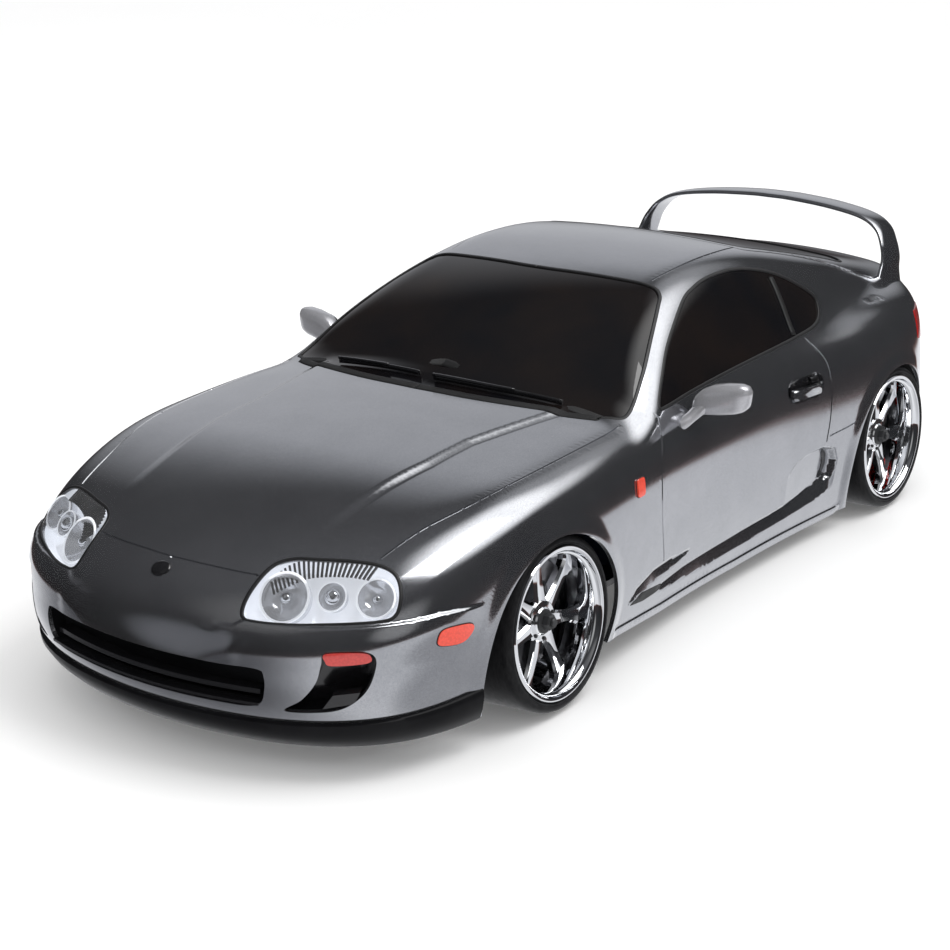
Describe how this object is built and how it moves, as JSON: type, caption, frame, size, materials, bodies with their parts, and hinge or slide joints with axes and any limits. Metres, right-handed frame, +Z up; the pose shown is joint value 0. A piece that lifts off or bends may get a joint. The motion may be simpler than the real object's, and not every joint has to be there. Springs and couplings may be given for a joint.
{
  "type": "radio controlled drift car",
  "caption": "Scale coupe shell that lifts off a rear wheel drive radio controlled drift chassis with steering, sprung double wishbones and spinning spoked wheels.",
  "frame": {"origin": "centre of the car's plan outline on the floor under the tyres", "axes": "+X towards the car's left, nose towards -Y, +Z up"},
  "size_m": [0.211, 0.4568, 0.1251],
  "materials": {
    "shell_paint": "gunmetal metallic, high gloss",
    "dark_glass": "tinted glossy",
    "clear_lens": "clear glossy",
    "silvered": "silvered plastic",
    "amber_lens": "amber",
    "red_lens": "red",
    "black_trim": "gloss black",
    "carbon": "satin black composite",
    "nylon": "moulded black nylon",
    "alloy": "anodised",
    "steel": "machined",
    "foam": "closed cell foam",
    "case": "hard case",
    "rim_chrome": "polished plating",
    "tyre": "smooth hard tyre",
    "brass_gear": "machined"
  },
  "bodies": {
    "chassis": {"chassis_plate": "carbon", "front_bulkhead": "nylon", "gearbox_case": "nylon", "motor": "alloy", "battery_pack": "case", "speed_controller": "case", "steering_servo": "case", "bumper_foam": "foam", "body_posts": "nylon"},
    "shell": {"body_shell": "shell_paint", "windows": "dark_glass", "rear_wing": "shell_paint", "mirrors": "shell_paint", "headlight_buckets": "silvered", "headlight_lenses": "clear_lens", "marker_lenses": "amber_lens", "tail_lights": "red_lens", "front_lip": "black_trim"},
    "spool": {"drive_spool": "steel"},
    "pinion": {"pinion_gear": "brass_gear"},
    "servo_horn": {"servo_horn": "nylon"},
    "rack": {"steering_rack": "nylon"},
    "lower_arm_fl": {"lower_arm_fl": "nylon"},
    "upper_arm_fl": {"upper_arm_fl": "alloy"},
    "hub_fl": {"hub_carrier_fl": "nylon"},
    "shock_fl": {"shock_body_fl": "alloy", "shock_spring_fl": "steel"},
    "shock_shaft_fl": {"shock_shaft_fl": "steel"},
    "wheel_fl": {"rim_fl": "rim_chrome", "tyre_fl": "tyre"},
    "knuckle_left": {"knuckle_left": "nylon"},
    "tie_rod_left": {"tie_rod_left": "alloy"},
    "lower_arm_fr": {"lower_arm_fr": "nylon"},
    "upper_arm_fr": {"upper_arm_fr": "alloy"},
    "hub_fr": {"hub_carrier_fr": "nylon"},
    "shock_fr": {"shock_body_fr": "alloy", "shock_spring_fr": "steel"},
    "shock_shaft_fr": {"shock_shaft_fr": "steel"},
    "wheel_fr": {"rim_fr": "rim_chrome", "tyre_fr": "tyre"},
    "knuckle_right": {"knuckle_right": "nylon"},
    "tie_rod_right": {"tie_rod_right": "alloy"},
    "lower_arm_rl": {"lower_arm_rl": "nylon"},
    "upper_arm_rl": {"upper_arm_rl": "alloy"},
    "hub_rl": {"hub_carrier_rl": "nylon"},
    "shock_rl": {"shock_body_rl": "alloy", "shock_spring_rl": "steel"},
    "shock_shaft_rl": {"shock_shaft_rl": "steel"},
    "wheel_rl": {"rim_rl": "rim_chrome", "tyre_rl": "tyre"},
    "driveshaft_left": {"driveshaft_left": "steel"},
    "lower_arm_rr": {"lower_arm_rr": "nylon"},
    "upper_arm_rr": {"upper_arm_rr": "alloy"},
    "hub_rr": {"hub_carrier_rr": "nylon"},
    "shock_rr": {"shock_body_rr": "alloy", "shock_spring_rr": "steel"},
    "shock_shaft_rr": {"shock_shaft_rr": "steel"},
    "wheel_rr": {"rim_rr": "rim_chrome", "tyre_rr": "tyre"},
    "driveshaft_right": {"driveshaft_right": "steel"}
  },
  "joints": [
    {"name": "shell_lift", "type": "slide", "parent": "chassis", "child": "shell", "axis": [0, 0, 1], "range_m": [0, 0.15]},
    {"name": "spool_spin", "type": "hinge", "parent": "chassis", "child": "spool", "pos_m": [0, 0.1365, 0.03072], "axis": [1, 0, 0], "continuous": true},
    {"name": "pinion_spin", "type": "hinge", "parent": "chassis", "child": "pinion", "pos_m": [0, 0.1095, 0.05089], "axis": [1, 0, 0], "continuous": true},
    {"name": "arm_fl", "type": "hinge", "parent": "chassis", "child": "lower_arm_fl", "pos_m": [0.024, -0.1205, 0.016], "axis": [0, -1, 0], "range_deg": [-3, 2.5], "stiffness_Nm_per_rad": 6, "springref_deg": -1.72},
    {"name": "upper_fl", "type": "hinge", "parent": "chassis", "child": "upper_arm_fl", "pos_m": [0.024, -0.1205, 0.044], "axis": [0, -1, 0], "range_deg": [-3.2, 2.7]},
    {"name": "hub_fl", "type": "hinge", "parent": "lower_arm_fl", "child": "hub_fl", "pos_m": [0.06, -0.1205, 0.016], "axis": [0, -1, 0], "range_deg": [-2.7, 3.2]},
    {"name": "shock_swing_fl", "type": "hinge", "parent": "chassis", "child": "shock_fl", "pos_m": [0.03, -0.1345, 0.064], "axis": [0, -1, 0], "range_deg": [-0.3, 0.3]},
    {"name": "shock_slide_fl", "type": "slide", "parent": "shock_fl", "child": "shock_shaft_fl", "axis": [-0.3417, 0, 0.9398], "range_m": [-0.0013, 0.0011], "deforming": ["shock_spring_fl"]},
    {"name": "steer_left", "type": "hinge", "parent": "hub_fl", "child": "knuckle_left", "pos_m": [0.072, -0.1205, 0.0314], "axis": [0, 0, 1], "range_deg": [-26, 26]},
    {"name": "tie_rod_left", "type": "hinge", "parent": "knuckle_left", "child": "tie_rod_left", "pos_m": [0.072, -0.1055, 0.033], "axis": [0, 0, 1], "range_deg": [-26.5, 26.5]},
    {"name": "wheel_fl", "type": "hinge", "parent": "knuckle_left", "child": "wheel_fl", "pos_m": [0.0795, -0.1205, 0.0314], "axis": [0.9976, 0, 0.0698], "continuous": true},
    {"name": "arm_fr", "type": "hinge", "parent": "chassis", "child": "lower_arm_fr", "pos_m": [-0.024, -0.1205, 0.016], "axis": [0, 1, 0], "range_deg": [-3, 2.5], "stiffness_Nm_per_rad": 6, "springref_deg": -1.72},
    {"name": "upper_fr", "type": "hinge", "parent": "chassis", "child": "upper_arm_fr", "pos_m": [-0.024, -0.1205, 0.044], "axis": [0, 1, 0], "range_deg": [-3.2, 2.7]},
    {"name": "hub_fr", "type": "hinge", "parent": "lower_arm_fr", "child": "hub_fr", "pos_m": [-0.06, -0.1205, 0.016], "axis": [0, 1, 0], "range_deg": [-2.7, 3.2]},
    {"name": "shock_swing_fr", "type": "hinge", "parent": "chassis", "child": "shock_fr", "pos_m": [-0.03, -0.1345, 0.064], "axis": [0, 1, 0], "range_deg": [-0.3, 0.3]},
    {"name": "shock_slide_fr", "type": "slide", "parent": "shock_fr", "child": "shock_shaft_fr", "axis": [0.3417, 0, 0.9398], "range_m": [-0.0013, 0.0011], "deforming": ["shock_spring_fr"]},
    {"name": "steer_right", "type": "hinge", "parent": "hub_fr", "child": "knuckle_right", "pos_m": [-0.072, -0.1205, 0.0314], "axis": [0, 0, 1], "range_deg": [-26.5, 26.5]},
    {"name": "tie_rod_right", "type": "hinge", "parent": "knuckle_right", "child": "tie_rod_right", "pos_m": [-0.072, -0.1055, 0.033], "axis": [0, 0, 1], "range_deg": [-26.5, 26.5]},
    {"name": "wheel_fr", "type": "hinge", "parent": "knuckle_right", "child": "wheel_fr", "pos_m": [-0.0795, -0.1205, 0.0314], "axis": [0.9976, 0, -0.0698], "continuous": true},
    {"name": "arm_rl", "type": "hinge", "parent": "chassis", "child": "lower_arm_rl", "pos_m": [0.024, 0.1365, 0.016], "axis": [0, -1, 0], "range_deg": [-3, 2.5], "stiffness_Nm_per_rad": 6, "springref_deg": -1.72},
    {"name": "upper_rl", "type": "hinge", "parent": "chassis", "child": "upper_arm_rl", "pos_m": [0.024, 0.1365, 0.044], "axis": [0, -1, 0], "range_deg": [-3.2, 2.7]},
    {"name": "hub_rl", "type": "hinge", "parent": "lower_arm_rl", "child": "hub_rl", "pos_m": [0.06, 0.1365, 0.016], "axis": [0, -1, 0], "range_deg": [-2.7, 3.2]},
    {"name": "shock_swing_rl", "type": "hinge", "parent": "chassis", "child": "shock_rl", "pos_m": [0.03, 0.1505, 0.064], "axis": [0, -1, 0], "range_deg": [-0.3, 0.3]},
    {"name": "shock_slide_rl", "type": "slide", "parent": "shock_rl", "child": "shock_shaft_rl", "axis": [-0.3417, 0, 0.9398], "range_m": [-0.0013, 0.0011], "deforming": ["shock_spring_rl"]},
    {"name": "wheel_rl", "type": "hinge", "parent": "hub_rl", "child": "wheel_rl", "pos_m": [0.0795, 0.1365, 0.0314], "axis": [0.9994, 0, 0.0349], "continuous": true},
    {"name": "driveshaft_left", "type": "hinge", "parent": "chassis", "child": "driveshaft_left", "pos_m": [0.024, 0.1365, 0.03072], "axis": [0, -1, 0], "range_deg": [-3.2, 2.7]},
    {"name": "arm_rr", "type": "hinge", "parent": "chassis", "child": "lower_arm_rr", "pos_m": [-0.024, 0.1365, 0.016], "axis": [0, 1, 0], "range_deg": [-3, 2.5], "stiffness_Nm_per_rad": 6, "springref_deg": -1.72},
    {"name": "upper_rr", "type": "hinge", "parent": "chassis", "child": "upper_arm_rr", "pos_m": [-0.024, 0.1365, 0.044], "axis": [0, 1, 0], "range_deg": [-3.2, 2.7]},
    {"name": "hub_rr", "type": "hinge", "parent": "lower_arm_rr", "child": "hub_rr", "pos_m": [-0.06, 0.1365, 0.016], "axis": [0, 1, 0], "range_deg": [-2.7, 3.2]},
    {"name": "shock_swing_rr", "type": "hinge", "parent": "chassis", "child": "shock_rr", "pos_m": [-0.03, 0.1505, 0.064], "axis": [0, 1, 0], "range_deg": [-0.3, 0.3]},
    {"name": "shock_slide_rr", "type": "slide", "parent": "shock_rr", "child": "shock_shaft_rr", "axis": [0.3417, 0, 0.9398], "range_m": [-0.0013, 0.0011], "deforming": ["shock_spring_rr"]},
    {"name": "wheel_rr", "type": "hinge", "parent": "hub_rr", "child": "wheel_rr", "pos_m": [-0.0795, 0.1365, 0.0314], "axis": [0.9994, 0, -0.0349], "continuous": true},
    {"name": "driveshaft_right", "type": "hinge", "parent": "chassis", "child": "driveshaft_right", "pos_m": [-0.024, 0.1365, 0.03072], "axis": [0, 1, 0], "range_deg": [-3.2, 2.7]},
    {"name": "rack_slide", "type": "slide", "parent": "chassis", "child": "rack", "axis": [1, 0, 0], "range_m": [-0.0068, 0.0068]},
    {"name": "servo_turn", "type": "hinge", "parent": "chassis", "child": "servo_horn", "pos_m": [0, -0.0955, 0.031], "axis": [0, 0, 1], "range_deg": [-42, 42]}
  ],
  "couplings": [
    {"joint": "pinion_spin", "follows": "spool_spin", "ratio": -1.8966},
    {"joint": "upper_fl", "follows": "arm_fl", "ratio": 1},
    {"joint": "hub_fl", "follows": "arm_fl", "ratio": -1},
    {"joint": "shock_swing_fl", "follows": "arm_fl", "ratio": 0.0803},
    {"joint": "shock_slide_fl", "follows": "arm_fl", "m_per_rad": 0.02204},
    {"joint": "tie_rod_left", "follows": "steer_left", "ratio": -1},
    {"joint": "upper_fr", "follows": "arm_fr", "ratio": 1},
    {"joint": "hub_fr", "follows": "arm_fr", "ratio": -1},
    {"joint": "shock_swing_fr", "follows": "arm_fr", "ratio": 0.0803},
    {"joint": "shock_slide_fr", "follows": "arm_fr", "m_per_rad": 0.02204},
    {"joint": "steer_right", "follows": "steer_left", "ratio": 1},
    {"joint": "tie_rod_right", "follows": "steer_left", "ratio": -1},
    {"joint": "upper_rl", "follows": "arm_rl", "ratio": 1},
    {"joint": "hub_rl", "follows": "arm_rl", "ratio": -1},
    {"joint": "shock_swing_rl", "follows": "arm_rl", "ratio": 0.0803},
    {"joint": "shock_slide_rl", "follows": "arm_rl", "m_per_rad": 0.02204},
    {"joint": "wheel_rl", "follows": "spool_spin", "ratio": 1},
    {"joint": "driveshaft_left", "follows": "arm_rl", "ratio": 1},
    {"joint": "upper_rr", "follows": "arm_rr", "ratio": 1},
    {"joint": "hub_rr", "follows": "arm_rr", "ratio": -1},
    {"joint": "shock_swing_rr", "follows": "arm_rr", "ratio": 0.0803},
    {"joint": "shock_slide_rr", "follows": "arm_rr", "m_per_rad": 0.02204},
    {"joint": "wheel_rr", "follows": "spool_spin", "ratio": 1},
    {"joint": "driveshaft_right", "follows": "arm_rr", "ratio": 1},
    {"joint": "rack_slide", "follows": "steer_left", "m_per_rad": -0.0146},
    {"joint": "servo_turn", "follows": "steer_left", "ratio": -1.56}
  ]
}
